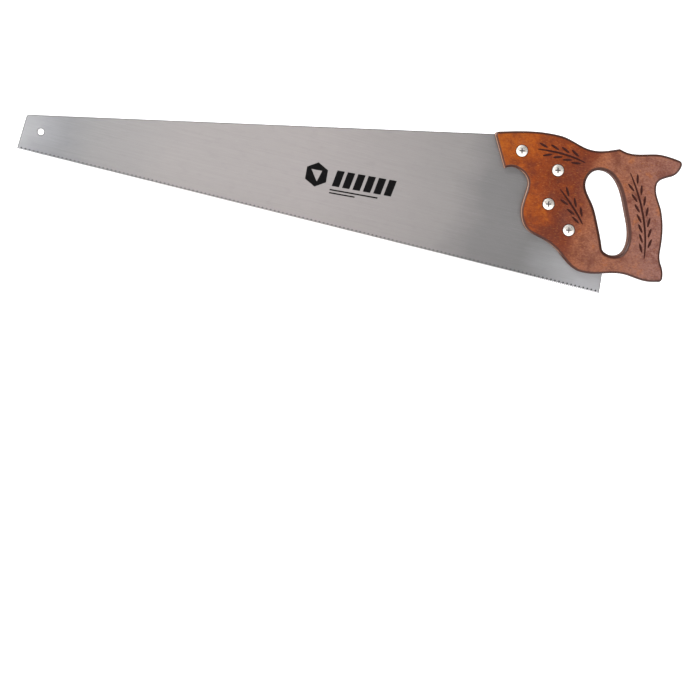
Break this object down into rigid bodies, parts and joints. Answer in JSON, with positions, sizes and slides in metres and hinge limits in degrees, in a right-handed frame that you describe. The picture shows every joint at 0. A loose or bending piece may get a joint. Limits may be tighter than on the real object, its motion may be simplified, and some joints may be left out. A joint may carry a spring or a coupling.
{
  "type": "hand saw",
  "caption": "Panel hand saw with a tapered toothed steel blade and a carved hardwood pistol-grip handle fixed by saw screws.",
  "frame": {"origin": "middle of the saw's length, in the blade's middle plane, level with the tooth points: the bottom centre of the box", "axes": "+X along the tooth line from the toe to the handle, +Z from the tooth points to the back, +Y through the blade away from the screw heads, towards the nuts"},
  "size_m": [0.7228, 0.0228, 0.1643],
  "materials": {
    "saw_steel": "ground lengthwise, satin",
    "hardwood": "stained and varnished, semi-gloss",
    "nickel": "nickel plated, bright"
  },
  "bodies": {
    "root": {"blade": "saw_steel", "handle": "hardwood", "saw_screw_1": "nickel", "saw_nut_1": "nickel", "saw_screw_2": "nickel", "saw_nut_2": "nickel", "saw_screw_3": "nickel", "saw_nut_3": "nickel", "saw_screw_4": "nickel", "saw_nut_4": "nickel"}
  },
  "joints": []
}
